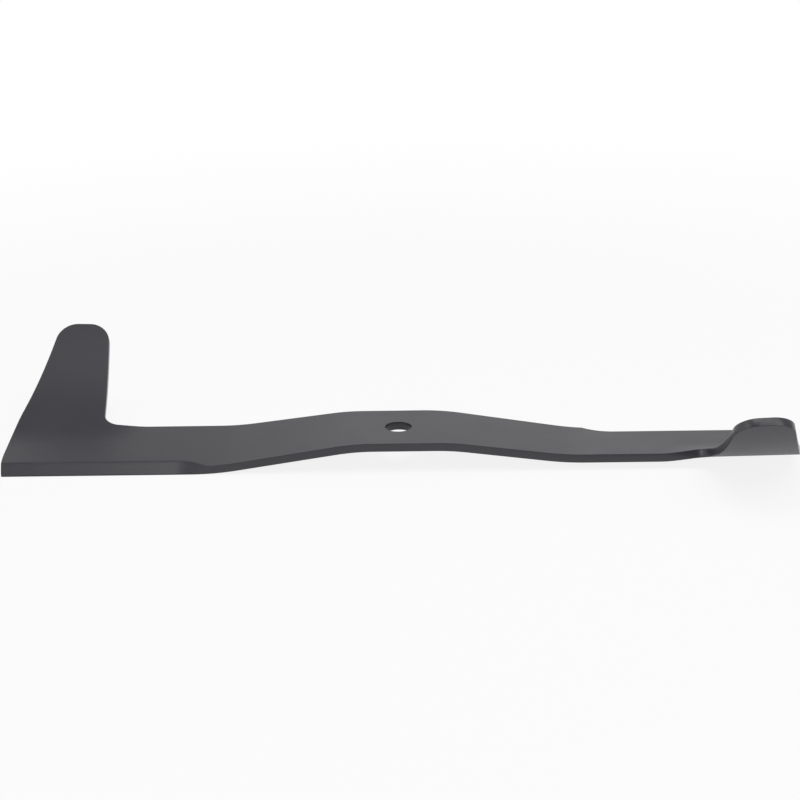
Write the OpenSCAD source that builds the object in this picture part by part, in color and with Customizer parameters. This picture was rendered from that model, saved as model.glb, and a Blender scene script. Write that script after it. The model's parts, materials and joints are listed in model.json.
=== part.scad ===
// Rotary mower blade: one bar of pressed steel with a raised hub, two ground
// cutting edges and two upturned wings that lift the cut grass.
// X runs along the blade and Z is the spindle axis. The undersides of the cutting
// edges lie at Z = 0. Each end is the other one turned half a turn about Z.

/* [Bar] */
// Spindle axis to each tip
tip_reach = 279.5; // [250:0.5:340]
// Width of the bar, measured level
bar_w = 65; // [50:1:80]
// Thickness of the steel
bar_t = 6; // [3:0.5:10]
// How far the tip's leading corner is eased back
tip_ease = 2.3; // [0:0.1:8]
// Width over which it is eased back
tip_ease_w = 26; // [12:1:30]

/* [Hub] */
// Diameter of the spindle bore
bore_d = 19; // [8:0.5:32]
// Height of the hub's underside above the cutting edges
hub_rise = 15.5; // [10:0.5:24]

/* [Bends] */
// Spindle axis to the upper bend, along the leading edge
upper_bend_lead = 30.5; // [24:0.5:50]
// Spindle axis to the upper bend, along the trailing edge
upper_bend_trail = 37; // [24:0.5:50]
// Spindle axis to the lower bend, along the leading edge
lower_bend_lead = 129; // [110:0.5:150]
// Spindle axis to the lower bend, along the trailing edge
lower_bend_trail = 116.5; // [100:0.5:150]
// Middle radius of the upper bend
upper_bend_r = 176; // [40:2:200]
// Middle radius of the lower bend
lower_bend_r = 214; // [40:2:230]
// Pitch of each end: its trailing edge stands higher than its cutting edge
pitch = 4.9; // [0:0.1:8]

/* [Cutting edge] */
// Length of the ground edge, back from the tip
edge_len = 124; // [60:0.5:140]
// Width of the ground face
edge_w = 9.6; // [4:0.1:20]
// Height of the blunt nose left under the ground face
edge_land = 0.8; // [0.3:0.1:2]
// Length over which the grinding runs out
edge_runout = 23; // [5:1:30]

/* [Wing] */
// Angle of the wing above the pitched end, past the bend at its foot
wing_angle = 17.5; // [10:0.5:35]
// Middle radius of the bend at the wing's foot
wing_bend_r = 90; // [60:0.5:120]
// How far inside the trailing edge the bend starts, halfway along the wing
wing_bend_inset = 25.9; // [10:0.1:30]
// Turn of the bend line in plan, towards the cutting edge at the tip
wing_skew = 2.7; // [0:0.1:8]
// Flat stretch between the bend and the curl
wing_flat = 9; // [0:0.5:30]
// Middle radius of the curl, from there to the wing's top
curl_r = 185.5; // [100:0.5:400]
// Length of the wing past the trailing edge, measured along the sheet
wing_reach = 95; // [60:0.5:120]
// Width of the wing at its root
wing_w = 65; // [50:0.1:80]
// Slant of the wing's inner side, outwards
inner_slant = 5.2; // [2:0.1:12]
// Slant of the wing's outer side, inwards
outer_slant = 23.9; // [10:0.1:28]
// How far inside the trailing edge the outer side starts
outer_inset = 5; // [4:0.5:20]
// Fillet between the bar's trailing edge and the wing
root_r = 11; // [4:0.5:20]
// Corner radius at the top of the inner side
inner_corner_r = 15; // [5:0.5:16]
// Corner radius at the top of the outer side
outer_corner_r = 16.5; // [5:0.5:18]
// Length over which the bar's trailing edge starts to lift, before the wing's root
lift_before = 33.4; // [15:0.1:40]
// Length over which the bend reaches its full angle, past the wing's root
lift_past = 2.2; // [0:0.1:20]

/* [Hidden] */
steel_grey = "#4b4b4e";
// Facets of each bend, corner and run-out
bend_steps = 9;
wing_steps = 7;
tip_steps = 2;
corner_steps = 6;
runout_steps = 6;
lift_steps = 6;
bore_facets = 96;
// Facets smaller than this area are edges that have closed up
least_area = 1e-6;
// Ribs, and levels across them, keep at least this far apart
rib_gap = 0.5;
// Step of the differences that give the sheet's slopes, and the least turn that counts as an arc
slope_step = 0.05;
least_turn = 1e-6;
// A rounded corner takes up at most this share of either side
corner_share = 0.49;
// The bore's cutter stands this far out of the hub
cut_margin = 1;

// Width along the pitched end, and the level of its middle surface at the cutting edge
slope_w = bar_w / cos(pitch);
low_mid = bar_t / 2 * cos(pitch);
hub_mid = hub_rise + bar_t / 2;
trail_mid = low_mid + slope_w * sin(pitch);
// Plan position of the wing's root, top and outer side
root_x = tip_reach - wing_w;
wing_top = slope_w + wing_reach;
outer_start = slope_w - outer_inset;
// Bend of the wing: where it starts, its length along the middle surface, and where the curl starts
bend_x = (root_x + tip_reach) / 2;
bend_s = slope_w - wing_bend_inset;
bend_len = wing_bend_r * wing_angle * PI / 180;
curl_from = bend_len + wing_flat;
lift_x0 = root_x - lift_before;
lift_x1 = root_x + lift_past;
// The ground edge ends here and has run out one run-out length further in
ground_x = tip_reach - edge_len;
// Directions of the pitched end: towards the trailing edge, its normal, and across the bend
to_trail = [0, -cos(pitch), sin(pitch)];
end_normal = [0, sin(pitch), cos(pitch)];
across_bend = [sin(wing_skew), 0, 0] + cos(wing_skew) * to_trail;

function clamp(v, low, high) = min(max(v, low), high);
function unit(v) = v / norm(v);
function mix(a, b, share) = a + (b - a) * share;
function ease(u) = let (c = clamp(u, 0, 1)) c * c * (3 - 2 * c);
function spread(a, b, n) = [for (k = [0 : n]) mix(a, b, k / n)];

// Plan x of the tip's end at distance s from the cutting edge: square, with its leading corner eased
function end_x(s) = tip_reach - tip_ease * pow(max(1 - s / tip_ease_w, 0), 2);

// One long edge of the bar seen from the side: level at the drop, an upper bend, a straight leg,
// a lower bend, then level at zero
function leg_angle(upper, lower, drop) = atan2(drop, lower - upper);
function edge_line(x, upper, lower, drop) =
    let (
        a = leg_angle(upper, lower, drop),
        k1 = upper_bend_r * tan(a / 2),
        k2 = lower_bend_r * tan(a / 2),
        t1 = asin(clamp((x - upper + k1) / upper_bend_r, 0, sin(a))),
        t2 = asin(clamp((lower + k2 - x) / lower_bend_r, 0, sin(a)))
    )
    x < upper + k1 * cos(a) ? drop - upper_bend_r * (1 - cos(t1))
    : x < lower - k2 * cos(a) ? (lower - x) * tan(a)
    : lower_bend_r * (1 - cos(t2));

// Chord [across, up] of an arc with this length that starts at one angle and turns by another
function chord(length, start, turn) =
    let (
        half = turn / 2,
        size = abs(half) < least_turn ? length : length * sin(half) / (half * PI / 180)
    )
    size * [cos(start + half), sin(start + half)];
function arc_turn(length, radius) = length / radius * 180 / PI;

// Point of the pressed sheet's middle that lay at x along and s across the flat blank. The bar is
// ruled between its two edge lines. The wing turns up about its bend line, runs flat for a little
// and curls gently up to its top.
function middle(x, s) =
    let (
        z_lead = low_mid + edge_line(x, upper_bend_lead, lower_bend_lead, hub_mid - low_mid),
        z_trail = trail_mid + edge_line(x, upper_bend_trail, lower_bend_trail, hub_mid - trail_mid),
        w = (x - bend_x) * sin(wing_skew) + (s - bend_s) * cos(wing_skew),
        share = ease((x - lift_x0) / (lift_x1 - lift_x0)),
        bend_w = clamp(w, 0, bend_len),
        flat_w = clamp(w - bend_len, 0, wing_flat),
        curl_w = max(w - curl_from, 0),
        moved = chord(bend_w, 0, share * arc_turn(bend_w, wing_bend_r))
            + chord(flat_w, share * wing_angle, 0)
            + chord(curl_w, share * wing_angle, share * arc_turn(curl_w, curl_r))
    )
    [x, bar_w / 2 - s * cos(pitch), mix(z_lead, z_trail, s / slope_w)]
    + (moved[0] - max(w, 0)) * across_bend + moved[1] * end_normal;

// Point moved o from the middle along the sheet's normal
function sheet(x, s, o) =
    let (
        along_s = middle(x, s + slope_step) - middle(x, s - slope_step),
        along_x = middle(x + slope_step, s) - middle(x - slope_step, s)
    )
    middle(x, s) + o * unit(cross(along_s, along_x));

// Arc that rounds the corner b between its neighbours a and c, of the wanted radius where the
// sides have room for it
function round_corner(a, b, c, wanted) =
    let (
        d0 = unit(a - b),
        d1 = unit(c - b),
        half = acos(d0 * d1) / 2,
        r = min(wanted, corner_share * min(norm(a - b), norm(c - b)) * tan(half)),
        centre = b + unit(d0 + d1) * r / sin(half),
        from = b + d0 * r / tan(half) - centre,
        to = b + d1 * r / tan(half) - centre,
        a0 = atan2(from[1], from[0]),
        sweep = atan2(from[0] * to[1] - from[1] * to[0], from * to)
    )
    [for (k = [0 : corner_steps])
        centre + r * [cos(a0 + sweep * k / corner_steps), sin(a0 + sweep * k / corner_steps)]];

// Trailing side of the flat blank from the wing's root to the tip, as points [x, s]
bar_mid = [lift_x0, slope_w];
root = [root_x, slope_w];
inner_top = [root_x + inner_slant, wing_top];
outer_top = [tip_reach - outer_slant, wing_top];
outer_foot = [tip_reach, outer_start];
root_fillet = round_corner(bar_mid, root, inner_top, root_r);
inner_corner = round_corner(root, inner_top, outer_top, inner_corner_r);
outer_corner = round_corner(inner_top, outer_top, outer_foot, outer_corner_r);
function inner_side(s) = mix(root, inner_top, (s - slope_w) / wing_reach);
function outer_side(s) = mix(outer_foot, outer_top, (s - outer_start) / (wing_top - outer_start));

// Distances across the blank at which every rib has a point
bend_margin = wing_w / 2 * tan(wing_skew);
level_marks = concat(
    spread(edge_w, tip_ease_w, tip_steps),
    spread(bend_s - bend_margin, bend_s + bend_len + bend_margin, wing_steps),
    spread(bend_s + curl_from - bend_margin, wing_top, wing_steps));
function between(v, low, high) = [for (s = v) if (s > low + rib_gap && s < high - rib_gap) s];
levels = concat([0, edge_w], spaced(sorted(between(level_marks, edge_w, wing_top))), [wing_top]);
level_count = len(levels);

// Stations along the bar, where the ribs run straight across
steepest = max(
    leg_angle(upper_bend_lead, lower_bend_lead, hub_mid - low_mid),
    leg_angle(upper_bend_trail, lower_bend_trail, hub_mid - trail_mid));
upper_reach = upper_bend_r * tan(steepest / 2);
lower_reach = lower_bend_r * tan(steepest / 2);
hub_end = min(upper_bend_lead, upper_bend_trail) - upper_reach;
leg_start = max(upper_bend_lead, upper_bend_trail) + upper_reach;
leg_end = min(lower_bend_lead, lower_bend_trail) - lower_reach;
level_start = max(lower_bend_lead, lower_bend_trail) + lower_reach;
stations = spaced(sorted(concat(
    spread(hub_end, leg_start, bend_steps),
    spread(leg_end, level_start, bend_steps),
    spread(ground_x - edge_runout, ground_x, runout_steps),
    spread(lift_x0, root_fillet[0][0] - rib_gap, lift_steps))));
function sorted(v) =
    len(v) < 2 ? v
    : let (pivot = v[floor(len(v) / 2)])
    concat(
        sorted([for (x = v) if (x < pivot) x]),
        [pivot],
        sorted([for (x = v) if (x > pivot) x]));
function spaced(v) = [for (k = [0 : len(v) - 1]) if (k == 0 || v[k] - v[k - 1] > rib_gap) v[k]];

// A rib runs across the sheet from the cutting edge to its own end [x, s] on the trailing side
inner_levels = between(levels, root_fillet[corner_steps][1], inner_corner[0][1]);
outer_levels = between(levels, outer_start, outer_corner[corner_steps][1]);
ribs = concat(
    [for (x = stations) [x, slope_w]],
    root_fillet,
    [for (s = inner_levels) inner_side(s)],
    inner_corner,
    outer_corner,
    [for (k = [len(outer_levels) - 1 : -1 : 0]) outer_side(outer_levels[k])],
    [outer_foot]);

// Ribs take on the tip's ease, more so the nearer they are to it
function rib_x(end, s) =
    end[0] - clamp((end[0] - root_x) / wing_w, 0, 1) * (tip_reach - end_x(s));

// Share of the full grinding depth at x
function ground(x) = 1 - pow(clamp((ground_x - x) / edge_runout, 0, 1), 2);

// Outline of the section at a rib: the underside out, the top side back, then the nose
function rib_loop(end) =
    let (
        cut = ground(rib_x(end, 0)),
        nose = bar_t / 2 - (bar_t - edge_land) * cut,
        upper = [for (k = [1 : level_count - 1]) k == 1 ? edge_w * cut : min(levels[k], end[1])]
    )
    concat(
        [for (s = levels) sheet(rib_x(end, min(s, end[1])), min(s, end[1]), -bar_t / 2)],
        [for (k = [level_count - 2 : -1 : 0]) sheet(rib_x(end, upper[k]), upper[k], bar_t / 2)],
        [sheet(rib_x(end, 0), 0, nose)]);

// All points: the ribs of the +X end, then the same ribs turned half a turn
loop_count = 2 * level_count;
half_count = len(ribs) * loop_count;
end_points = [for (end = ribs) each rib_loop(end)];
points = concat(end_points, [for (p = end_points) [-p[0], -p[1], p[2]]]);
function at(half, rib, k) = half * half_count + rib * loop_count + k % loop_count;
// Place on the other half's first rib that faces place k of this one across the hub
function facing(k) = k < level_count ? level_count - 1 - k : 3 * level_count - 1 - k;

quads = concat(
    [for (half = [0, 1], rib = [0 : len(ribs) - 2], k = [0 : loop_count - 1])
        [at(half, rib, k), at(half, rib, k + 1), at(half, rib + 1, k + 1), at(half, rib + 1, k)]],
    [for (half = [0, 1], k = [0 : level_count - 2])
        let (last = len(ribs) - 1)
        [at(half, last, k), at(half, last, k + 1),
         at(half, last, loop_count - 2 - k), at(half, last, loop_count - 1 - k)]],
    [for (k = [0 : loop_count - 1])
        let (next = (k + 1) % loop_count)
        [at(0, 0, next), at(0, 0, k), at(1, 0, facing(k)), at(1, 0, facing(next))]]);
function area(f) = norm(cross(points[f[1]] - points[f[0]], points[f[2]] - points[f[0]])) / 2;
facets = [for (q = quads, f = [[q[0], q[1], q[2]], [q[0], q[2], q[3]]]) if (area(f) > least_area) f];

// The whole blade, bored for the spindle
module blade() {
    color(steel_grey)
    difference() {
        polyhedron(points, facets);
        translate([0, 0, hub_rise - cut_margin])
            cylinder(d = bore_d, h = bar_t + 2 * cut_margin, $fn = bore_facets);
    }
}

blade();
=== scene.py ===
# %% [markdown]
# # A rotary mower blade
#
# The real blade is one bar of steel: blanked from plate, pressed so that its ends hang lower than its
# hub, turned up at its trailing corners into wings, ground along its leading edges and then dipped
# in a thin dark coat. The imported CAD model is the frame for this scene. It gives the blade's true size
# and place, and everything here is in its coordinates, in metres.

# %% The frame
import json
import math
from collections import namedtuple

import bmesh
import bpy
import numpy as np
from mathutils import Matrix, Vector


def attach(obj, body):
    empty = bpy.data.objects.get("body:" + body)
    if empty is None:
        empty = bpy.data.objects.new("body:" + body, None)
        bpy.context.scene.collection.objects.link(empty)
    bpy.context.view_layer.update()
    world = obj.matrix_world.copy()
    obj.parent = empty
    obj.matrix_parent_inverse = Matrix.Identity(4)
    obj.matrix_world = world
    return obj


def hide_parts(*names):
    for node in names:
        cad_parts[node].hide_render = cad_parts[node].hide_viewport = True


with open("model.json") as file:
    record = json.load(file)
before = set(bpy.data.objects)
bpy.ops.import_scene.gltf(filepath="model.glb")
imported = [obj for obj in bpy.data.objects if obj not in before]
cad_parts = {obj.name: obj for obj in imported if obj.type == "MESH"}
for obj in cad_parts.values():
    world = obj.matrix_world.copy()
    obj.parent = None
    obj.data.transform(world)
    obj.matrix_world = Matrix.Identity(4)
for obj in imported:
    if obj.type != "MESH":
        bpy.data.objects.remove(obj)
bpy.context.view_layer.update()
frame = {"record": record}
MM = 0.001

# %% [markdown]
# ## The camera
#
# The blade was photographed from a little above and almost square on, with a long lens. A camera
# could be turned with three angles, but it is easier to read as a place, a point to aim at and a
# small roll about the line of sight.

# %% Camera
IMAGE_SIDE = 800
SENSOR_MM = 36.0
FOCAL_PIXELS = 1787.9
camera_place = Vector((0.01343, -1.18063, 0.47954))
camera_aim = Vector((0.00144, 0.0, 0.0416))
camera_roll = math.radians(-0.926)

camera_data = bpy.data.cameras.new("camera")
camera_data.sensor_width = SENSOR_MM
camera_data.lens = FOCAL_PIXELS * SENSOR_MM / IMAGE_SIDE
camera = bpy.data.objects.new("camera", camera_data)
bpy.context.scene.collection.objects.link(camera)
sight = (camera_aim - camera_place).to_track_quat("-Z", "Y").to_matrix()
turned_sight = sight @ Matrix.Rotation(camera_roll, 3, "Z")
camera.matrix_world = Matrix.Translation(camera_place) @ turned_sight.to_4x4()
bpy.context.scene.camera = camera
print(f"lens {camera_data.lens:.1f} mm, {(camera_aim - camera_place).length:.3f} m from its aim point")

# %% [markdown]
# ## Sizes
#
# The thickness, the hub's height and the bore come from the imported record. The other sizes are the
# maker's own: each one could be read off the blade with a rule, a radius gauge or a protractor.
# Lengths are in millimetres and angles in degrees until the mesh is made.

# %% Sizes of the blade
mounts = {mount["name"]: mount for mount in frame["record"]["mounts"]}
bore_r = mounts["spindle_bore"]["dims"]["r_mm"]
hub_top = mounts["hub_top"]["pos_m"][2] / MM
hub_under = mounts["hub_underside"]["pos_m"][2] / MM
thickness = hub_top - hub_under

tip_reach = 279.5
bar_w = 65.0
tip_ease = 2.3
tip_ease_w = 26.0
upper_bend_lead = 30.5
upper_bend_trail = 37.0
lower_bend_lead = 129.0
lower_bend_trail = 116.5
upper_bend_r = 176.0
lower_bend_r = 214.0
pitch = math.radians(4.9)

edge_len = 124.0
edge_w = 9.6
edge_land = 0.8
edge_runout = 23.0

wing_angle = math.radians(17.5)
wing_bend_r = 90.0
wing_bend_inset = 25.9
wing_skew = math.radians(2.7)
wing_flat = 9.0
curl_r = 185.5
wing_reach = 95.0
wing_w = 65.0
inner_slant = 5.2
outer_slant = 23.9
outer_inset = 5.0
root_r = 11.0
inner_corner_r = 15.0
outer_corner_r = 16.5
outer_foot_r = 186.0
lift_before = 33.4
lift_past = 2.2
print(f"thickness {thickness:.1f} mm, bore {2 * bore_r:.1f} mm, hub underside at {hub_under:.1f} mm")

# %% [markdown]
# ## The pressed sheet
#
# Before pressing, the blade is a flat blank: a point of it lies at x along the bar and s across it,
# counted from the cutting edge. Pressing moves each point. The bar is ruled between two bent edge
# lines. The wing turns up about a bend line with a large radius, runs flat for a little and then
# curls gently up to its top. A coarse cage with a Subdivision Surface modifier could come close, but
# with a formula each bend keeps the radius of its press tool. The formula gives the middle surface,
# and its own normal then carries both faces, so the steel is equally thick everywhere.
# Only the +X end is worked out: the other end is the same one turned half a turn.

# %% Places on the blank
slope_w = bar_w / math.cos(pitch)
hub_mid = (hub_top + hub_under) / 2
low_mid = thickness / 2 * math.cos(pitch)
trail_mid = low_mid + slope_w * math.sin(pitch)
root_x = tip_reach - wing_w
bend_x = (root_x + tip_reach) / 2
bend_s = slope_w - wing_bend_inset
bend_len = wing_bend_r * wing_angle
curl_from = bend_len + wing_flat
lift_x0 = root_x - lift_before
lift_x1 = root_x + lift_past
end_normal = np.array([0, math.sin(pitch), math.cos(pitch)])
to_trail = np.array([0, -math.cos(pitch), math.sin(pitch)])
across_bend = math.cos(wing_skew) * to_trail + np.array([math.sin(wing_skew), 0, 0])
print(f"wing root at x {root_x:.1f} mm, tip at x {tip_reach:.1f} mm")

# %% [markdown]
# Both long edges of the bar step down from the hub to the low ends, and the leading edge drops
# further, which pitches the ends. A press tool has rounded noses, so each step is two arcs with a
# straight leg between them. A Bezier curve could look alike, but would hide the two radii.

# %% Long edges of the bar


def mix(a, b, share):
    """Straight blend from a to b."""
    return a + (b - a) * share


def edge_line(x, upper, lower, drop):
    """Height of one long edge of the bar above its low end.

    It is level at the drop, bends down to a straight leg and bends back to level zero. Each bend is a
    circle's arc, with the height r less the root of r squared minus its run squared."""
    leg = math.atan2(drop, lower - upper)
    lead_in = upper_bend_r * math.tan(leg / 2)
    lead_out = lower_bend_r * math.tan(leg / 2)
    upper_run = np.clip(x - upper + lead_in, 0, upper_bend_r * math.sin(leg))
    lower_run = np.clip(lower + lead_out - x, 0, lower_bend_r * math.sin(leg))
    upper_arc = drop - upper_bend_r + np.sqrt(upper_bend_r**2 - upper_run**2)
    lower_arc = lower_bend_r - np.sqrt(lower_bend_r**2 - lower_run**2)
    straight = (lower - x) * math.tan(leg)
    past_upper = x > upper + lead_in * math.cos(leg)
    past_leg = x > lower - lead_out * math.cos(leg)
    return np.where(past_leg, lower_arc, np.where(past_upper, straight, upper_arc))


print(f"leading edge drops {hub_mid - low_mid:.1f} mm, trailing edge {hub_mid - trail_mid:.1f} mm")

# %% [markdown]
# The wing rises in three stretches one after the other: a bend, a flat and a gentler curl. Each one
# moves a point by the chord of its arc, and the flat is an arc that doesn't turn. A Simple Deform
# modifier bends too, but in one even turn, and here the turns also ease in along the bar.

# %% Bar and wing


def ease(u):
    """Smooth step from 0 to 1: three u squared less two u cubed."""
    u = np.clip(u, 0, 1)
    return u * u * (3 - 2 * u)


def chord(length, start, turn):
    """Across and up parts of the chord of an arc that starts at one angle and turns by another.

    A chord is its arc's length times the sine of half the turn over half the turn, at the middle angle."""
    size = length * np.sinc(turn / 2 / math.pi)
    return np.stack([size * np.cos(start + turn / 2), size * np.sin(start + turn / 2)], -1)


def middle(x, s):
    """Point of the middle surface: the ruled bar, then the wing's turn about its bend line.

    A point that lies w past the bend line goes round the bend, along the flat and up the curl, as far
    as w reaches. All these turns ease in along the bar, ahead of the wing's root."""
    z_lead = low_mid + edge_line(x, upper_bend_lead, lower_bend_lead, hub_mid - low_mid)
    z_trail = trail_mid + edge_line(x, upper_bend_trail, lower_bend_trail, hub_mid - trail_mid)
    bar = np.stack([x, bar_w / 2 - s * math.cos(pitch), mix(z_lead, z_trail, s / slope_w)], -1)
    w = (x - bend_x) * math.sin(wing_skew) + (s - bend_s) * math.cos(wing_skew)
    share = ease((x - lift_x0) / (lift_x1 - lift_x0))
    bend_w = np.clip(w, 0, bend_len)
    flat_w = np.clip(w - bend_len, 0, wing_flat)
    curl_w = np.maximum(w - curl_from, 0)
    moved = chord(bend_w, 0, share * bend_w / wing_bend_r)
    moved = moved + chord(flat_w, share * wing_angle, 0)
    moved = moved + chord(curl_w, share * wing_angle, share * curl_w / curl_r)
    along = moved[..., :1] - np.maximum(w, 0)[..., None]
    return bar + along * across_bend + moved[..., 1:] * end_normal


hub_middle = middle(np.array([0.0]), np.array([slope_w / 2]))
print(f"middle of the steel at the hub: z {hub_middle[0, 2]:.2f} mm")

# %% [markdown]
# The two faces lie off the middle surface along its normal. A Solidify modifier would do that for a
# plain sheet, but the ground edge has another thickness at each point, so the offset is given.

# %% Sheet
SLOPE_STEP = 0.05


def sheet(x, s, o):
    """Point at offset o from the middle surface, along the cross product of its two slopes."""
    along_x = middle(x + SLOPE_STEP, s) - middle(x - SLOPE_STEP, s)
    along_s = middle(x, s + SLOPE_STEP) - middle(x, s - SLOPE_STEP)
    normal = np.cross(along_s, along_x)
    normal /= np.linalg.norm(normal, axis=-1, keepdims=True)
    return middle(x, s) + o[..., None] * normal


hub_face = sheet(np.array([0.0]), np.array([slope_w / 2]), np.array([thickness / 2]))
print(f"top face at the hub: z {hub_face[0, 2]:.2f} mm")

# %% [markdown]
# ## The ground edge
#
# The cutting edge is ground on top only. The grinding face is a slope that starts just above the
# underside, so the top face is whichever is lower, the plate's own face or that slope. Towards the
# hub the wheel lifts out in a short curve. A Boolean cut could grind the edge too, but the lower of
# two heights keeps the mesh a clean grid. A smooth minimum leaves the line where they meet a little
# soft, as the coat does.

# %% Top face
ground_x = tip_reach - edge_len
crease_round = 0.3
LEAST_ROUND = 1e-9


def ground(x):
    """Share of the full grinding depth: one less the square of the way through the run-out."""
    return 1 - np.clip((ground_x - x) / edge_runout, 0, 1) ** 2


def top_face(x, s):
    """Offset of the top face: half the thickness, or the ground slope where that is lower.

    Where the two are close it is their blend, less the soft width times near times one less near."""
    plate = thickness / 2
    slope = plate - (thickness - edge_land) * (ground(x) - s / edge_w)
    soft = np.maximum(crease_round * ground(x), LEAST_ROUND)
    near = np.clip(0.5 + (slope - plate) / soft / 2, 0, 1)
    return mix(slope, plate, near) - soft * near * (1 - near)


print(f"grinding slope {math.degrees(math.atan2(thickness - edge_land, edge_w)):.1f} degrees")

# %% [markdown]
# ## The blank's outline
#
# The outline is made of straight sides joined by arcs. The tip is cut square, and its leading corner
# is eased back a little. A blank could also be drawn as a Bezier curve, but with lines and arcs each
# size stays one number that can be measured.

# %% Lines and arcs
CORNER_STEPS = 16


def end_x(s):
    """Plan x of the tip at s: its reach, less the ease times the square of the way into the corner."""
    return tip_reach - tip_ease * np.clip(1 - s / tip_ease_w, 0, 1) ** 2


def straight(a, b, steps):
    """Points from a towards b in equal steps, without the two ends."""
    return mix(np.array(a), np.array(b), np.linspace(0, 1, steps + 1)[1:-1, None])


def rounded(a, b, c, r, steps):
    """Arc of radius r that rounds the corner b between a and c.

    Its centre lies on the corner's bisector, r over the sine of half the angle away from b."""
    a, b, c = np.array(a), np.array(b), np.array(c)
    back = (a - b) / np.linalg.norm(a - b)
    on = (c - b) / np.linalg.norm(c - b)
    half = math.acos(back @ on) / 2
    bisector = (back + on) / np.linalg.norm(back + on)
    centre = b + bisector * r / math.sin(half)
    first = b + back * r / math.tan(half) - centre
    last = b + on * r / math.tan(half) - centre
    start = math.atan2(first[1], first[0])
    sweep = math.atan2(first[0] * last[1] - first[1] * last[0], first @ last)
    angle = start + sweep * np.linspace(0, 1, steps + 1)
    return centre + r * np.stack([np.cos(angle), np.sin(angle)], -1)


print(f"the tip's leading corner is eased back by {tip_reach - end_x(0):.1f} mm")

# %% [markdown]
# The wing's side is one chain: a fillet at its root, the inner side, two rounded corners with the
# short top between them, the outer side, and a large round at its foot.

# %% Side of the wing
INNER_STEPS = 24
TOP_STEPS = 8
OUTER_STEPS = 30
wing_top = slope_w + wing_reach
outer_start = slope_w - outer_inset
root = (root_x, slope_w)
inner_top = (root_x + inner_slant, wing_top)
outer_top = (tip_reach - outer_slant, wing_top)
outer_foot = (tip_reach, outer_start)
tip_straight = (tip_reach, tip_ease_w)
root_fillet = rounded((lift_x0, slope_w), root, inner_top, root_r, CORNER_STEPS)
inner_corner = rounded(root, inner_top, outer_top, inner_corner_r, CORNER_STEPS)
outer_corner = rounded(inner_top, outer_top, outer_foot, outer_corner_r, CORNER_STEPS)
outer_blend = rounded(outer_top, outer_foot, tip_straight, outer_foot_r, CORNER_STEPS // 2)
wing_side = np.concatenate([
    root_fillet,
    straight(root_fillet[-1], inner_corner[0], INNER_STEPS),
    inner_corner,
    straight(inner_corner[-1], outer_corner[0], TOP_STEPS),
    outer_corner,
    straight(outer_corner[-1], outer_blend[0], OUTER_STEPS),
    outer_blend,
])
print(f"{len(wing_side)} stations round the wing, up to {wing_top:.1f} mm from the cutting edge")

# %% [markdown]
# The outline is split into a leading side and a trailing side with equally many stations, so that a
# rib can join each pair. Along the bar the ribs run straight across, and they lie closer together
# where the grinding runs out, because the face changes fastest there. Out at the end the trailing side
# goes all the way round the wing, and the ribs fan out over it.

# %% The two sides of the blank
BAR_STEPS = 40
RUNOUT_STEPS = 26
FILLET_STEPS = 22
RUNOUT_MARGIN = 2.0
hub_half = 16.0
tip_corner_r = 1.0
fillet_x = root_fillet[0, 0]
runout_x0 = ground_x - edge_runout - RUNOUT_MARGIN
runout_x1 = ground_x + RUNOUT_MARGIN
bar_x = np.concatenate([
    np.linspace(hub_half, runout_x0, BAR_STEPS, endpoint=False),
    np.linspace(runout_x0, runout_x1, RUNOUT_STEPS, endpoint=False),
    np.linspace(runout_x1, fillet_x, FILLET_STEPS, endpoint=False),
])
trail = np.concatenate([np.stack([bar_x, np.full_like(bar_x, slope_w)], -1), wing_side])
tip_near = 2 * tip_corner_r
tip_lead = (end_x(0), 0)
tip_side = (end_x(tip_near), tip_near)
tip_corner = rounded((root_x, 0), tip_lead, tip_side, tip_corner_r, CORNER_STEPS // 2)
knife_steps = len(wing_side) - len(tip_corner)
knife_x = np.linspace(fillet_x, tip_corner[0, 0], knife_steps, endpoint=False)
lead_x = np.concatenate([bar_x, knife_x])
lead = np.concatenate([np.stack([lead_x, np.zeros_like(lead_x)], -1), tip_corner])
print(f"{len(lead)} ribs, {len(wing_side)} of them round the wing")

# %% [markdown]
# ## Ribs and rim
#
# Plate has soft edges: shearing rolls the upper edge over and the coat fills it. Instead of a bevel
# modifier, the rim is a profile carried along the outline: a hold line on the underside, a quarter
# round, the sheared wall, another quarter round and a hold line on top. The faces then fill what is
# left inside the hold lines. At the knife the wall is thin, so the rounds shrink with it.

# %% Once round one end
hold = 0.4
EDGE_LEVELS = 6
PLATE_LEVELS = 42
HUB_STEPS = 16


def crease_levels(s0, crease, s1):
    """Levels across ribs: even steps up to the crease, one on it, and even steps from there on."""
    low = mix(s0[:, None], crease[:, None] - hold, np.linspace(0, 1, EDGE_LEVELS))
    high = mix(crease[:, None] + hold, s1[:, None], np.linspace(0, 1, PLATE_LEVELS))
    return np.concatenate([low, crease[:, None], high], 1)


tip_s = crease_levels(lead[-1:, 1], np.array([edge_w]), trail[-1:, 1])[0]
tip = np.stack([end_x(tip_s), tip_s], -1)[1:-1]
hub_x = np.linspace(-hub_half, hub_half, HUB_STEPS, endpoint=False)
hub_side = np.stack([hub_x, np.zeros_like(hub_x)], -1)
outline = np.concatenate([hub_side, lead, tip, trail[::-1]])
tangent = np.gradient(outline, axis=0)
tangent /= np.linalg.norm(tangent, axis=1, keepdims=True)
inward = np.stack([-tangent[:, 1], tangent[:, 0]], -1)
print(f"{len(outline)} stations from one side of the hub round the tip to the other")

# %% [markdown]
# Each station of the outline now gets its profile. The profile is set out on the flat blank, as an
# inset and a depth below the face, and the sheet formula presses it together with everything else.

# %% Rim of one end
edge_round = 0.3
ROUND_SHARE = 0.3
ROUND_STEPS = 4

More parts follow.
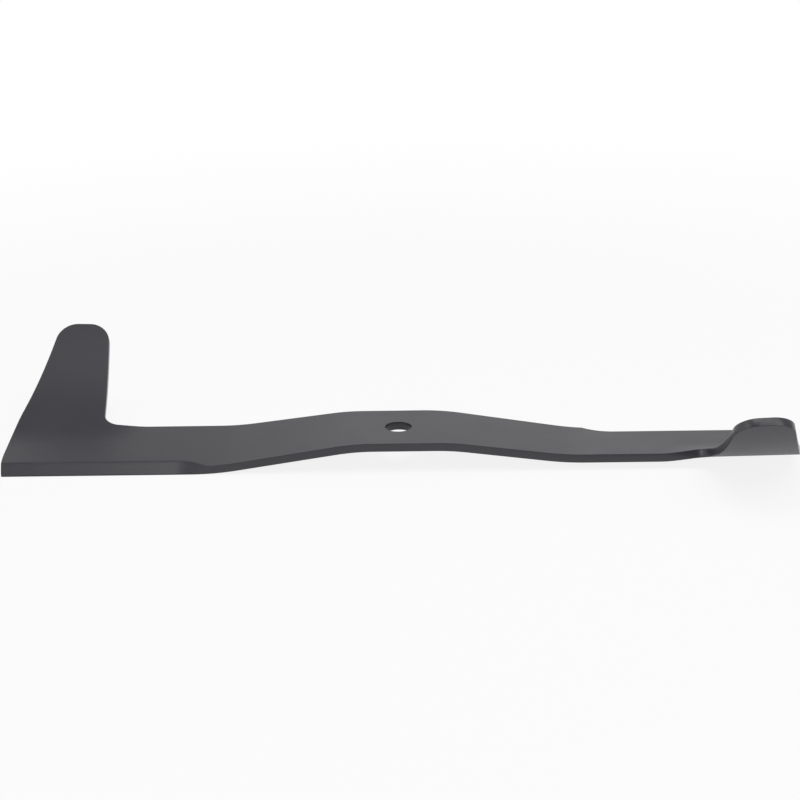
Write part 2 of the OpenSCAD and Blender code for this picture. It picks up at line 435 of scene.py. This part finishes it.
wall = top_face(outline[:, 0], outline[:, 1]) + thickness / 2
rim_r = np.minimum(edge_round, ROUND_SHARE * wall)[:, None]
quarter = np.linspace(0, math.pi / 2, ROUND_STEPS + 1)
round_in = np.concatenate([rim_r + hold, rim_r * (1 - np.sin(quarter))], 1)
round_drop = np.concatenate([0 * rim_r, rim_r * (1 - np.cos(quarter))], 1)
# Places on the blank, for every station and profile point: the outline, moved inwards by the inset.
rim_xs = outline[:, None] + round_in[..., None] * inward[:, None]
rim_under = sheet(rim_xs[..., 0], rim_xs[..., 1], round_drop - thickness / 2)
rim_over = sheet(rim_xs[..., 0], rim_xs[..., 1], top_face(rim_xs[..., 0], rim_xs[..., 1]) - round_drop)
rim = np.concatenate([rim_under, rim_over[:, ::-1]], 1)
inside = rim_xs[:, 0]
print(f"rim of {rim.shape[0]} stations by {rim.shape[1]} profile points")

# %% [markdown]
# The faces are a patch between four curves: the hub line, the tip, and the two long sides. Straight
# ribs join the long sides, and near the tip they take on its bow as well. This is a Coons patch in its
# simplest form. Grid Fill in Blender's edit mode makes one like it by hand, but here the ribs can
# also be lined up with the grinding. Both faces use the same ribs, at their own offsets.

# %% Faces of one end
first = len(hub_side)
last = first + len(lead)
lead_in = inside[first:last]
tip_in = inside[last - 1:last + len(tip) + 1]
trail_in = inside[last + len(tip):][::-1]
crease = np.maximum(edge_w * ground(lead_in[:, 0]), lead_in[:, 1] + 2 * hold)
rib_s = crease_levels(lead_in[:, 1], crease, trail_in[:, 1])
share = (rib_s - rib_s[:, :1]) / (rib_s[:, -1:] - rib_s[:, :1])
rib_x = mix(lead_in[:, :1], trail_in[:, :1], share)
bow = np.clip((lead_in[:, :1] - fillet_x) / (lead_in[-1, 0] - fillet_x), 0, 1) ** 2
rib_x = rib_x + bow * (tip_in[:, 0] - rib_x[-1])
rib_s = rib_s + bow * (tip_in[:, 1] - rib_s[-1])
over_face = sheet(rib_x, rib_s, top_face(rib_x, rib_s))
under_face = sheet(rib_x, rib_s, np.full_like(rib_x, -thickness / 2))
print(f"faces of {rib_x.shape[0]} ribs by {rib_x.shape[1]} levels")

# %% [markdown]
# ## The hub and its bore
#
# The hub is flat, so only its plan matters: a ring that goes from the round bore to the square block
# between the two ends. Each point of the block's rim is paired with the point of the bore in the same
# direction. A Boolean cylinder would punch the bore as well, but would leave its rim sharp. So the
# bore's own wall is a second profile, turned about the spindle axis, with a small round at its rims.

# %% Hub
bore_round = 0.1
HALF_TURN = np.array([-1.0, -1.0, 1.0])
RING_STEPS = 12


def hub_ring(side_points, rib_points):
    """Ring between the bore and the block: each block point drawn towards the bore along its own radius."""
    half_loop = np.concatenate([side_points, rib_points[:-1]])
    block = np.concatenate([half_loop, half_loop * HALF_TURN])
    plan = block * [1, 1, 0]
    radius = np.linalg.norm(plan, axis=1, keepdims=True)
    rim_edge = plan / radius * (bore_r + bore_round + hold) + block * [0, 0, 1]
    steps = np.linspace(0, 1, RING_STEPS)[:, None, None]
    return mix(rim_edge, block, steps), plan / radius


hub_over, ray = hub_ring(rim[:first, -1], over_face[0])
hub_under_face, ray = hub_ring(rim[:first, 0], under_face[0])
bore_in = np.concatenate([[bore_round + hold], bore_round * (1 - np.sin(quarter))])
bore_drop = np.concatenate([[0.0], bore_round * (1 - np.cos(quarter))])
bore_radius = bore_r + np.concatenate([bore_in, bore_in[::-1]])
bore_z = np.concatenate([hub_top - bore_drop, (hub_under + bore_drop)[::-1]])
bore = ray * bore_radius[:, None, None] + np.array([0, 0, 1.0]) * bore_z[:, None, None]
print(f"bore of {bore.shape[1]} stations, hub top at {hub_over[0, 0, 2]:.2f} mm")

# %% [markdown]
# ## One closed mesh
#
# The blade is now nine patches, each a grid of points. Two numbers are kept at each point for the
# coat: how far it lies on the ground face, and how far on a sheared or punched wall. They could be
# painted on by hand, but the formulas that made the shape already say where the grinding ends.

# %% Patches
Patch = namedtuple("Patch", "points wrap ground_face cut_wall")


def ground_share(x, s):
    """One on the ground face and zero off it, with a step as wide as the hold line."""
    return np.clip((edge_w * ground(x) - s) / hold + 0.5, 0, 1)


def grid(points, wrap=False, ground_part=0.0, wall_part=0.0):
    """A patch with its two finishes, each as one number per point."""
    size = points.shape[:2]
    return Patch(points, wrap, np.broadcast_to(ground_part, size), np.broadcast_to(wall_part, size))


round_wall = np.linspace(0, 1, ROUND_STEPS + 1)
half_wall = np.concatenate([[0.0], round_wall])
rim_wall = np.concatenate([half_wall, half_wall[::-1]])
over_ground = ground_share(rim_xs[..., 0], rim_xs[..., 1])
rim_ground = np.concatenate([0 * over_ground, over_ground[:, ::-1]], 1)
end_patches = [
    grid(rim, False, rim_ground, rim_wall),
    grid(over_face, False, ground_share(rib_x, rib_s)),
    grid(under_face),
]
turned = [patch._replace(points=patch.points * HALF_TURN) for patch in end_patches]
hub_patches = [grid(hub_over, True), grid(hub_under_face, True), grid(bore, True, 0.0, rim_wall[:, None])]
patches = end_patches + turned + hub_patches
print(f"{len(patches)} patches: {len(end_patches)} for each end and {len(hub_patches)} for the hub")

# %% [markdown]
# Every patch is a grid, so its quads follow from its row and column counts. The patches share their
# border points exactly, and merging by distance closes the seams. A closed mesh has two faces on
# every edge, which is checked, and its volume times the density of steel is the blade's weight.

# %% Mesh
STEEL_KG_M3 = 7850
WELD = 1e-6


def quads(rows, columns, wrap):
    """Corner numbers of a grid's quads; wrap joins the last column to the first."""
    row = np.arange(rows - 1)[:, None]
    column = np.arange(columns if wrap else columns - 1)[None, :]
    beside = (column + 1) % columns
    below = row * columns
    above = (row + 1) * columns
    corners = [below + column, below + beside, above + beside, above + column]
    return np.stack(corners, -1).reshape(-1, 4)


starts = np.cumsum([0] + [patch.cut_wall.size for patch in patches])
points = np.concatenate([patch.points.reshape(-1, 3) for patch in patches]) * MM
faces = np.concatenate([
    quads(*patch.points.shape[:2], patch.wrap) + start for patch, start in zip(patches, starts)
])
blade_mesh = bpy.data.meshes.new("pressed_blade")
blade_mesh.from_pydata(points.tolist(), [], faces.tolist())
for name in ("ground_face", "cut_wall"):
    values = np.concatenate([getattr(patch, name).ravel() for patch in patches])
    blade_mesh.attributes.new(name, "FLOAT", "POINT").data.foreach_set("value", values)
shape = bmesh.new()
shape.from_mesh(blade_mesh)
bmesh.ops.remove_doubles(shape, verts=shape.verts, dist=WELD)
bmesh.ops.recalc_face_normals(shape, faces=shape.faces)
open_edges = sum(not edge.is_manifold for edge in shape.edges)
weight = shape.calc_volume() * STEEL_KG_M3
shape.to_mesh(blade_mesh)
shape.free()
blade_mesh.polygons.foreach_set("use_smooth", np.ones(len(blade_mesh.polygons), bool))
blade = bpy.data.objects.new("pressed_blade", blade_mesh)
bpy.context.scene.collection.objects.link(blade)
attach(blade, "root")
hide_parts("blade")
print(f"{len(blade_mesh.polygons)} faces, {open_edges} open edges, {weight:.3f} kg of steel")

# %% [markdown]
# ## The coat
#
# The blade wears a thin dark electro-dipped paint. Paint of this kind is satin: a dielectric with an
# IOR near 1.5, dark grey with a breath of blue, that follows the steel so closely that a slight
# orange peel and the plate's own fine grain still show. A picture of the paint could be wrapped round
# the blade, but patterns in Object coordinates need no unwrapping and keep their real size.
#
# Three helpers come first. One turns a colour as it is written into the linear light that the renderer
# counts in, one adds a node, and one turns a size in millimetres into the scale of a noise.

# %% Colour and node helpers


def linear(hex_colour):
    """An sRGB hex colour as linear red, green, blue and alpha.

    This is the sRGB curve: a straight start, then a power of 2.4 of the shifted and scaled value."""
    srgb = np.array([int(hex_colour[k:k + 2], 16) for k in (1, 3, 5)]) / 255
    value = np.where(srgb <= 0.04045, srgb / 12.92, ((srgb + 0.055) / 1.055) ** 2.4)
    return (*value.tolist(), 1.0)


def add_node(tree, kind, settings=None, inputs=None):
    """Adds a node with its settings, and gives each input, by name or number, a value or a link."""
    node = tree.nodes.new(kind)
    for name, value in (settings or {}).items():
        setattr(node, name, value)
    for name, value in (inputs or {}).items():
        if isinstance(value, bpy.types.NodeSocket):
            tree.links.new(value, node.inputs[name])
        else:
            node.inputs[name].default_value = value
    return node


def noise_scale(size_mm):
    """Noise scale, in cells per metre, at which one cell has this size."""
    return 1 / (size_mm * MM)


print(f"mid grey #808080 is {linear('#808080')[0]:.3f} in linear light")

# %% [markdown]
# The colour drifts a little over a few centimetres, and the gloss with it. Where the steel below is
# ground or sheared smooth, the coat lies smoother too, so the two numbers kept at each point of the
# mesh choose the roughness there.

# %% Tone and gloss of the coat
DRIFT_MM = 35.0
DRIFT_DETAIL = 3.0
DRIFT_LOW = 0.3
DRIFT_HIGH = 0.7
PLATE_ROUGH_LOW = 0.49
PLATE_ROUGH_HIGH = 0.53
GROUND_ROUGH = 0.36
WALL_ROUGH = 0.3

coat = bpy.data.materials.new("dip_coated_steel")
coat.use_nodes = True
tree = coat.node_tree
tree.nodes.clear()
place = add_node(tree, "ShaderNodeTexCoord").outputs["Object"]
drift = add_node(
    tree, "ShaderNodeTexNoise",
    inputs={"Vector": place, "Scale": noise_scale(DRIFT_MM), "Detail": DRIFT_DETAIL},
).outputs["Fac"]
tone = add_node(tree, "ShaderNodeValToRGB", inputs={"Fac": drift})
tone.color_ramp.elements[0].position = DRIFT_LOW
tone.color_ramp.elements[0].color = linear("#37363c")
tone.color_ramp.elements[1].position = DRIFT_HIGH
tone.color_ramp.elements[1].color = linear("#3a393f")
plate_gloss = add_node(
    tree, "ShaderNodeMapRange",
    inputs={
        "Value": drift, "From Min": DRIFT_LOW, "From Max": DRIFT_HIGH,
        "To Min": PLATE_ROUGH_LOW, "To Max": PLATE_ROUGH_HIGH,
    },
)
ground_part = add_node(tree, "ShaderNodeAttribute", {"attribute_name": "ground_face"}).outputs["Fac"]
wall_part = add_node(tree, "ShaderNodeAttribute", {"attribute_name": "cut_wall"}).outputs["Fac"]
ground_gloss = add_node(
    tree, "ShaderNodeMapRange",
    inputs={"Value": ground_part, "To Min": plate_gloss.outputs["Result"], "To Max": GROUND_ROUGH},
)
gloss = add_node(
    tree, "ShaderNodeMapRange",
    inputs={"Value": wall_part, "To Min": ground_gloss.outputs["Result"], "To Max": WALL_ROUGH},
)
print(f"plate roughness {PLATE_ROUGH_LOW} to {PLATE_ROUGH_HIGH}, ground {GROUND_ROUGH}, cut {WALL_ROUGH}")

# %% [markdown]
# Three fine reliefs lie on the coat: the paint's orange peel, the plate's grain, and lines across the
# cutting edge where the wheel has ground it. They are a hundredth of a millimetre or two deep, far too
# little to model, so bump nodes only tilt the light. On a real blade the grain and the lines are closer
# together. They are drawn as coarse as they need to be to show.

# %% Relief of the coat
PEEL_MM = 3.0
PEEL_DETAIL = 1.0
PEEL_DEPTH_MM = 0.02
PEEL_STRENGTH = 0.2
GRAIN_MM = 0.7
GRAIN_DETAIL = 2.0
GRAIN_DEPTH_MM = 0.01
GRAIN_STRENGTH = 0.3
LINE_MM = 0.6
LINE_DETAIL = 2.0
LINE_DEPTH_MM = 0.01
LINE_STRETCH = (1.0, 0.03, 0.03)

peel = add_node(
    tree, "ShaderNodeTexNoise",
    inputs={"Vector": place, "Scale": noise_scale(PEEL_MM), "Detail": PEEL_DETAIL},
).outputs["Fac"]
grain = add_node(
    tree, "ShaderNodeTexNoise",
    inputs={"Vector": place, "Scale": noise_scale(GRAIN_MM), "Detail": GRAIN_DETAIL},
).outputs["Fac"]
across_edge = add_node(
    tree, "ShaderNodeMapping", inputs={"Vector": place, "Scale": LINE_STRETCH},
).outputs["Vector"]
lines = add_node(
    tree, "ShaderNodeTexNoise",
    inputs={"Vector": across_edge, "Scale": noise_scale(LINE_MM), "Detail": LINE_DETAIL},
).outputs["Fac"]
peel_bump = add_node(
    tree, "ShaderNodeBump",
    inputs={"Height": peel, "Strength": PEEL_STRENGTH, "Distance": PEEL_DEPTH_MM * MM},
)
grain_bump = add_node(
    tree, "ShaderNodeBump",
    inputs={
        "Height": grain, "Strength": GRAIN_STRENGTH, "Distance": GRAIN_DEPTH_MM * MM,
        "Normal": peel_bump.outputs["Normal"],
    },
)
line_bump = add_node(
    tree, "ShaderNodeBump",
    inputs={
        "Height": lines, "Strength": ground_part, "Distance": LINE_DEPTH_MM * MM,
        "Normal": grain_bump.outputs["Normal"],
    },
)
print(f"peel {PEEL_MM} mm, grain {GRAIN_MM} mm and grinding lines {LINE_MM} mm apart")

# %% [markdown]
# Colour, gloss and relief meet in one Principled shader. It could have a clear coat over a metal, but
# this paint hides the steel, so one dielectric layer with the usual IOR of paint is enough.

# %% Coat
PAINT_IOR = 1.5

shader = add_node(
    tree, "ShaderNodeBsdfPrincipled",
    inputs={
        "Base Color": tone.outputs["Color"], "Roughness": gloss.outputs["Result"], "IOR": PAINT_IOR,
        "Normal": line_bump.outputs["Normal"],
    },
)
add_node(tree, "ShaderNodeOutputMaterial", inputs={"Surface": shader.outputs["BSDF"]})
blade_mesh.materials.append(coat)
print(f"{coat.name}: {len(tree.nodes)} nodes")

# %% [markdown]
# ## The floor
#
# The blade lies on a plain white floor. One large square is enough.

# %% Floor
FLOOR_SIDE = 8.0

floor_mesh = bpy.data.meshes.new("floor")
reach = FLOOR_SIDE / 2
floor_corners = [(-reach, -reach, 0), (reach, -reach, 0), (reach, reach, 0), (-reach, reach, 0)]
floor_mesh.from_pydata(floor_corners, [], [(0, 1, 2, 3)])
floor = bpy.data.objects.new("floor", floor_mesh)
bpy.context.scene.collection.objects.link(floor)
print(f"floor of {FLOOR_SIDE:.0f} by {FLOOR_SIDE:.0f} m")

# %% [markdown]
# The floor is a sweep of matt white paper, which shows white to the camera and in reflections. A
# brighter lamp could make it white as well, but it would wash out the blade. So the floor glows, for
# those rays alone, and a share of it stays ordinary diffuse white, which takes the blade's soft
# shadow. Away from the blade that share fades out, and the floor runs into the white of the room.

# %% Floor finish
WHITE_SHARE = 0.86
FADE_FROM = 0.3
FADE_TO = 1.2


def seen_directly(tree):
    """One where the ray is a camera, glossy or transmission ray, and zero for diffuse light.

    Each kind of ray is one or zero, so the largest of the three is what is wanted."""
    path = add_node(tree, "ShaderNodeLightPath").outputs
    two = add_node(
        tree, "ShaderNodeMath", {"operation": "MAXIMUM"},
        {0: path["Is Camera Ray"], 1: path["Is Glossy Ray"]},
    )
    three = add_node(
        tree, "ShaderNodeMath", {"operation": "MAXIMUM"},
        {0: two.outputs["Value"], 1: path["Is Transmission Ray"]},
    )
    return three.outputs["Value"]


sweep = bpy.data.materials.new("white_sweep")
sweep.use_nodes = True
tree = sweep.node_tree
tree.nodes.clear()
paper = add_node(tree, "ShaderNodeBsdfDiffuse", inputs={"Color": linear("#f3f3f3")})
white = add_node(tree, "ShaderNodeEmission", inputs={"Color": linear("#ffffff"), "Strength": 1.0})
floor_place = add_node(tree, "ShaderNodeTexCoord").outputs["Object"]
away = add_node(tree, "ShaderNodeVectorMath", {"operation": "LENGTH"}, {"Vector": floor_place})
fade = add_node(
    tree, "ShaderNodeMapRange", {"interpolation_type": "SMOOTHSTEP"},
    inputs={
        "Value": away.outputs["Value"], "From Min": FADE_FROM, "From Max": FADE_TO,
        "To Min": WHITE_SHARE, "To Max": 1.0,
    },
)
glow = add_node(
    tree, "ShaderNodeMapRange",
    inputs={"Value": seen_directly(tree), "To Max": fade.outputs["Result"]},
)
blend = add_node(
    tree, "ShaderNodeMixShader",
    inputs={"Fac": glow.outputs["Result"], 1: paper.outputs["BSDF"], 2: white.outputs["Emission"]},
)
add_node(tree, "ShaderNodeOutputMaterial", inputs={"Surface": blend.outputs["Shader"]})
floor_mesh.materials.append(sweep)
print(f"{1 - WHITE_SHARE:.0%} of the floor takes shadow near the blade, and none beyond {FADE_TO} m")

# %% [markdown]
# ## The room
#
# The walls are white and the ceiling is dark. At a low angle a satin coat mirrors the walls, which is
# what gives the bar its sheen. The camera sees white all round. In reflections the side behind the
# camera is dark and the right side dims, as where a photographer stands black cards, and that gives
# the cut walls their contrast. A picture of a studio could be used for this, but a few values read off
# the ray's direction are easier to change. Diffuse light from the room is even and weak.

# %% Room
ROOM_LIGHT = 0.28
WALL_TOP = 0.6
CEILING = 0.8
FRONT_DARK = -0.9
FRONT_WHITE = -0.6
RIGHT_WHITE = 0.5
RIGHT_DARK = 1.2

world = bpy.data.worlds.new("studio")
bpy.context.scene.world = world
world.use_nodes = True
tree = world.node_tree
tree.nodes.clear()
direction = add_node(tree, "ShaderNodeTexCoord").outputs["Generated"]
along = add_node(tree, "ShaderNodeSeparateXYZ", inputs={"Vector": direction}).outputs
to_camera = add_node(tree, "ShaderNodeLightPath").outputs["Is Camera Ray"]
front = add_node(
    tree, "ShaderNodeMapRange", {"interpolation_type": "SMOOTHSTEP"},
    inputs={
        "Value": along["Y"], "From Min": FRONT_DARK, "From Max": FRONT_WHITE,
        "To Min": to_camera, "To Max": 1.0,
    },
)
right = add_node(
    tree, "ShaderNodeMapRange", {"interpolation_type": "SMOOTHSTEP"},
    inputs={
        "Value": along["X"], "From Min": RIGHT_WHITE, "From Max": RIGHT_DARK,
        "To Min": front.outputs["Result"], "To Max": to_camera,
    },
)
walls = add_node(
    tree, "ShaderNodeMapRange", {"interpolation_type": "SMOOTHSTEP"},
    inputs={
        "Value": along["Z"], "From Min": WALL_TOP, "From Max": CEILING,
        "To Min": right.outputs["Result"], "To Max": 0.0,
    },
)
level = add_node(
    tree, "ShaderNodeMapRange",
    inputs={"Value": seen_directly(tree), "To Min": ROOM_LIGHT, "To Max": walls.outputs["Result"]},
)
room = add_node(
    tree, "ShaderNodeBackground",
    inputs={"Color": linear("#ffffff"), "Strength": level.outputs["Result"]},
)
add_node(tree, "ShaderNodeOutputWorld", inputs={"Surface": room.outputs["Background"]})
print(f"walls are white up to {math.degrees(math.asin(WALL_TOP)):.0f} degrees above the floor")

# %% [markdown]
# ## Lamps
#
# A satin coat shows its lamps, so they are soft boxes: small bare lamps would leave hard glints. One
# hangs overhead, for the ground edges and the inside of the wings. A key high on the right lights the
# wall along the wing's top, a fill high on the left lights the grinding's run-out, and a small one low
# at the front left draws the light stripe in the fillet at the wing's root. A weak one low at the back
# adds to the bar's sheen. Their light and the room's come to a plain level, a little under full white.

# %% Soft boxes


def softbox(name, place, side, watts):
    """Adds a square area lamp that faces the blade's middle, and gives its light level on the flat there.

    The level is the power times the cosine of the slant, over the square of pi times the distance."""
    lamp = bpy.data.lights.new(name, "AREA")
    lamp.shape = "SQUARE"
    lamp.size = side
    lamp.energy = watts
    lamp_object = bpy.data.objects.new(name, lamp)
    lamp_object.location = place
    lamp_object.rotation_euler = (-Vector(place)).to_track_quat("-Z", "Y").to_euler()
    bpy.context.scene.collection.objects.link(lamp_object)
    distance = Vector(place).length
    return watts * place[2] / distance / (math.pi * distance) ** 2


lamp_levels = [
    softbox("overhead_softbox", (0.03, -0.12, 1.7), 0.9, 9.0),
    softbox("right_key_softbox", (0.94, -0.58, 1.38), 1.05, 8.0),
    softbox("left_fill_softbox", (-1.0, -0.3, 1.3), 0.8, 2.3),
    softbox("left_low_softbox", (-1.2, -1.1, 0.22), 0.35, 2.0),
    softbox("back_low_softbox", (0.0, 1.6, 0.6), 0.8, 1.0),
]
bpy.context.scene.view_settings.view_transform = "Standard"
print(f"{len(lamp_levels)} lamps give a level of {sum(lamp_levels):.2f}, the room {ROOM_LIGHT:.2f}")
